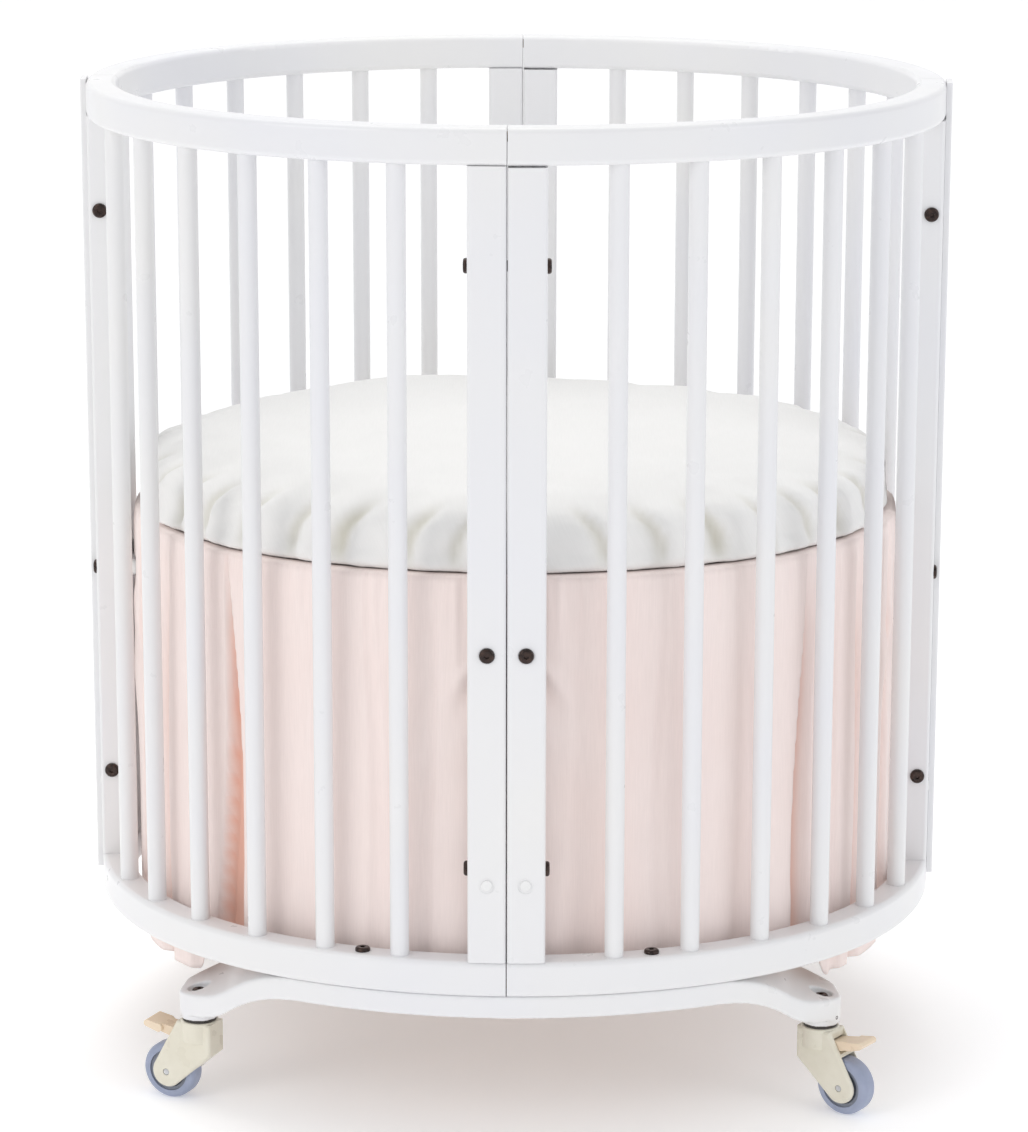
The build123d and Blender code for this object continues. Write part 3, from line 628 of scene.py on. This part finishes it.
def make_mattress():
    quarter = quarter_run(cloth_inset)
    low = board_high.z + 0.0016
    block = pad_block("cover", 0.0395, low, sheet_high.z - 0.0035, 0.021)
    for vert in block.data.vertices:
        inset = inset_at(vert.co.x, vert.co.y)
        edge = 1 - smooth(0.04, 0.075, inset)
        side = smooth(low, low + 0.012, vert.co.z)
        vert.co += Vector((vert.co.x, vert.co.y, 0)).normalized() * 0.0022 * edge * side * lobe_push(vert.co)
    simulate_cover(block, 4.0, 18, 0.006)

    bm = bmesh.new()
    bm.from_mesh(block.data)
    bpy.data.objects.remove(block)
    bmesh.ops.smooth_vert(bm, verts=bm.verts, factor=0.5, use_axis_x=True, use_axis_y=True, use_axis_z=True)
    # creases: irregular places round the edge, each with its size and how far it leans
    creases = []
    count = 38
    for k in range(count):
        jitter = noise.noise(Vector((k * 1.7, 0.3, 0)))
        place = -2 * quarter + 4 * quarter * (k + 0.5 + 0.55 * jitter) / count
        size = 0.65 + 0.7 * abs(noise.noise(Vector((k * 2.3, 5.1, 0)))) * 2
        lean = 0.050 if place < 0 else -0.050
        if abs(place) > quarter:
            lean = -lean
        creases.append((place, size, lean))
    bm.normal_update()
    fold_shade_layer = bm.verts.layers.float.new("fold_shade")
    moves = []
    for vert in bm.verts:
        place = vert.co
        inset = inset_at(place.x, place.y)
        move = Vector((0, 0, 0))
        if inset < 0.085:
            run = run_of(place)
            depth = crease_depth(run, place.z, creases) * (1 - smooth(0.055, 0.085, inset))
            move -= vert.normal * depth
            # painted shade in each crease, by its depth
            vert[fold_shade_layer] = min(1.0, max(0.0, depth / 0.007))
            # between the creases the cloth bulges over the skirt's top edge and sags a little
            hang = rim_sag(run, place.z, inset)
            move += Vector((place.x, place.y, 0)).normalized() * rim_out * hang
            move.z -= rim_down * hang
        if place.z > sheet_high.z - 0.02:
            on_top = smooth(0.04, 0.10, inset)
            broad = noise.noise(Vector((place.x * 5.0, place.y * 7.5, 0.4)))
            ridge = 1 - abs(noise.noise(Vector((place.x * 7.0 + 2 * place.y, place.y * 16.0, 2.7))))
            move.z += on_top * (0.0030 * broad + 0.0034 * (ridge - 0.8))
            move.z += 0.0035 * smooth(0.06, 0.30, inset)
            peak = hypot(place.x - peak_place[0], place.y - peak_place[1]) / peak_spread
            move.z += peak_height * bell(peak)
        moves.append(move)
    for vert, move in zip(bm.verts, moves):
        vert.co += move
        floor = low - 0.006 if inset_at(vert.co.x, vert.co.y) < 0.0345 else low
        vert.co.z = min(max(vert.co.z, floor), sheet_high.z + 0.010)
    pad_bm = bm.copy()

    # the sheet: open underneath, where its elastic hem ends
    cut = [face for face in bm.faces
           if face.normal.z < -0.8 and inset_at(*face.calc_center_median().xy) > 0.085]
    bmesh.ops.delete(bm, geom=cut, context="FACES")
    add_plan_uv(bm)
    sheet = new_piece("cotton_sheet", bm, "white_cotton", "mattress")
    smoother = sheet.modifiers.new("smooth", "SUBSURF")
    smoother.levels = smoother.render_levels = 1
    thicken(sheet, sheet_cloth, 1.0)
    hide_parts("fitted_sheet")

    # the foam pad just inside it
    pad_bm.normal_update()
    for vert in pad_bm.verts:
        vert.co -= vert.normal * pad_gap
    add_plan_uv(pad_bm)
    pad = new_piece("foam_pad", pad_bm, "mattress_ticking", "mattress")
    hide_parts("mattress")
    return sheet


def run_of(place):
    """Distance of a plan point round the oval from the middle of the front."""
    reference = cloth_inset
    x, y = abs(place.x), abs(place.y)
    if atan2(y - side_centre, x) > meet:
        run = (pi / 2 - atan2(y - side_centre, x)) * (side_radius - reference)
    else:
        run = side_run(reference) + (meet - atan2(y, x - end_centre)) * (end_radius - reference)
    if place.y > 0:
        run = 2 * quarter_run(reference) - run
    return run if place.x >= 0 else -run


def add_plan_uv(bm):
    layer = bm.loops.layers.uv.new("cloth")
    for face in bm.faces:
        for loop in face.loops:
            co = loop.vert.co
            loop[layer].uv = (co.x + 0.5 * co.z, co.y + 0.5 * co.z)


# ------------------------------------------------------------------ small hardware
def turned(bm, profile, centre, axis, steps=32):
    """Adds a closed turned shape: profile is (radius, height) pairs from axis to axis."""
    axis = Vector(axis).normalized()
    side = axis.orthogonal().normalized()
    other = axis.cross(side)
    rings = []
    for radius, height in profile:
        base = Vector(centre) + axis * height
        if radius == 0:
            rings.append([bm.verts.new(base)])
            continue
        ring = []
        for i in range(steps):
            a = 2 * pi * i / steps
            ring.append(bm.verts.new(base + (side * cos(a) + other * sin(a)) * radius))
        rings.append(ring)
    for lower, upper in zip(rings, rings[1:]):
        for i in range(steps):
            k = (i + 1) % steps
            if len(lower) == 1:
                bm.faces.new((lower[0], upper[k], upper[i]))
            elif len(upper) == 1:
                bm.faces.new((lower[i], lower[k], upper[0]))
            else:
                bm.faces.new((lower[i], lower[k], upper[k], upper[i]))


hub_low, hub_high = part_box("hub_bolts")
bolt_head_radius = 0.0063
hub_x = (hub_high.x - hub_low.x) / 2 - bolt_head_radius
hub_y = (hub_high.y - hub_low.y) / 2 - bolt_head_radius
hub_radius = 0.0165


def make_set_screws():
    """One small dark grub screw in the side of each hub, which clamps the caster's stem."""
    bm = bmesh.new()
    for sign_x, sign_y, heading in ((-1, -1, -119), (1, -1, -38), (-1, 1, 119), (1, 1, 38)):
        axis = Vector((cos(radians(heading)), sin(radians(heading)), 0))
        seat = Vector((sign_x * hub_x, sign_y * hub_y, 0.0835)) + axis * (hub_radius - 0.0004)
        profile = [(0, 0), (0.0019, 0), (0.0019, 0.0006), (0.0016, 0.0009), (0.0009, 0.0009),
                   (0.0007, 0.0002), (0, 0.0001)]
        turned(bm, profile, seat, axis, 24)
    bmesh.ops.recalc_face_normals(bm, faces=bm.faces)
    return new_piece("hub_set_screws", bm, "bronze_steel", "frame")


# ------------------------------------------------------------------ leg bars
leg_voxel = 0.0014
leg_smoothing = 16  # passes, which round the bar's edges to about 3 mm


def make_leg_bar(node_name, name):
    """The leg bar with its edges well rounded; its turned hubs and their recesses stay crisp."""
    bar = bpy.data.objects.new(name + "_blank", nodes[node_name].data.copy())
    bpy.context.scene.collection.objects.link(bar)
    remesh = bar.modifiers.new("voxels", "REMESH")
    remesh.mode = "VOXEL"
    remesh.voxel_size = leg_voxel
    bar.data = evaluated_mesh(bar)
    bar.modifiers.clear()
    group = bar.vertex_groups.new(name="bar")
    for vert in bar.data.vertices:
        from_hub = hypot(abs(vert.co.x) - hub_x, abs(vert.co.y) - hub_y)
        share = 0.12 + 0.88 * smooth(hub_radius, hub_radius + 0.008, from_hub)
        group.add([vert.index], share, "REPLACE")
    rounding = bar.modifiers.new("rounding", "SMOOTH")
    rounding.factor = 0.5
    rounding.iterations = leg_smoothing
    rounding.vertex_group = "bar"
    bm = bmesh.new()
    bm.from_mesh(evaluated_mesh(bar))
    bpy.data.objects.remove(bar)
    piece = new_piece(name, bm, "white_lacquer", "frame")
    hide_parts(node_name)
    return piece


# ------------------------------------------------------------------ stage
def stage_material():
    material, tree, shader = new_material("studio_floor")
    tint = noise_value(tree, object_coords(tree), 1.5, 2.0)
    tree.links.new(
        blend_colours(tree, tint, (0.90, 0.90, 0.905), (0.92, 0.92, 0.92)), shader.inputs["Base Color"]
    )
    set_sockets(shader, {"Roughness": 0.9, "Emission Color": (1, 1, 1, 1), "Emission Strength": 0.26})
    return material


def make_stage():
    """A pale floor that curves up into a backdrop."""
    bm = bmesh.new()
    width, front, turn_start, turn_radius, top = 9.0, -6.0, 3.2, 1.6, 6.0
    line = [(front, 0.0), (turn_start, 0.0)]
    for k in range(1, 13):
        a = radians(90 * k / 12)
        line.append((turn_start + turn_radius * sin(a), turn_radius * (1 - cos(a))))
    line.append((turn_start + turn_radius, top))
    rows = [[bm.verts.new((x, y, z)) for x in (-width, width)] for y, z in line]
    for near, far in zip(rows, rows[1:]):
        bm.faces.new((near[0], near[1], far[1], far[0]))
    mesh = bpy.data.meshes.new("studio")
    bm.to_mesh(mesh)
    bm.free()
    for polygon in mesh.polygons:
        polygon.use_smooth = True
    studio = bpy.data.objects.new("studio", mesh)
    bpy.context.scene.collection.objects.link(studio)
    mesh.materials.append(stage_material())


def area_light(name, place, target, size, power, colour):
    data = bpy.data.lights.new(name, "AREA")
    data.shape = "RECTANGLE"
    data.size, data.size_y = size
    data.energy = power
    data.color = colour
    light = bpy.data.objects.new(name, data)
    bpy.context.scene.collection.objects.link(light)
    light.location = place
    light.rotation_euler = (Vector(target) - Vector(place)).to_track_quat("-Z", "Y").to_euler()


def make_lights():
    world = bpy.data.worlds.new("studio_air")
    bpy.context.scene.world = world
    world.use_nodes = True
    background = world.node_tree.nodes["Background"]
    background.inputs["Color"].default_value = (0.97, 0.98, 1.0, 1)
    background.inputs["Strength"].default_value = 0.66
    middle = (0, 0, 0.5)
    area_light("overhead", (-0.4, 0.6, 3.2), middle, (2.6, 2.2), 30, (1.0, 0.98, 0.94))
    area_light("left_front", (-2.6, -2.6, 2.0), middle, (1.8, 2.0), 26, (1.0, 0.98, 0.96))
    area_light("right_front", (2.8, -2.0, 1.7), middle, (1.8, 2.0), 16, (0.95, 0.96, 1.0))


def make_camera():
    """The camera stands in front of the crib, a little to the right, and looks slightly down."""
    pan, pitch, roll = radians(-1.209), radians(13.694), radians(0.097)
    forward = Vector((sin(pan) * cos(pitch), cos(pan) * cos(pitch), -sin(pitch)))
    level = Vector((cos(pan), -sin(pan), 0))
    above = level.cross(forward)
    right = level * cos(roll) + above * sin(roll)
    up = above * cos(roll) - level * sin(roll)
    data = bpy.data.cameras.new("camera")
    data.sensor_fit = "HORIZONTAL"
    data.sensor_width = 36.0
    data.lens = 144.85
    camera = bpy.data.objects.new("camera", data)
    bpy.context.scene.collection.objects.link(camera)
    place = Matrix((right, up, -forward)).transposed().to_4x4()
    place.translation = (0.0741, -3.5663, 1.2966)
    camera.matrix_world = place
    bpy.context.scene.camera = camera


make_skirt()
make_mattress()
make_set_screws()
make_leg_bar("leg_front", "front_leg_bar")
make_leg_bar("leg_rear", "rear_leg_bar")
make_stage()
make_lights()
make_camera()
bpy.context.scene.view_settings.view_transform = "Standard"

bpy.context.view_layer.update()
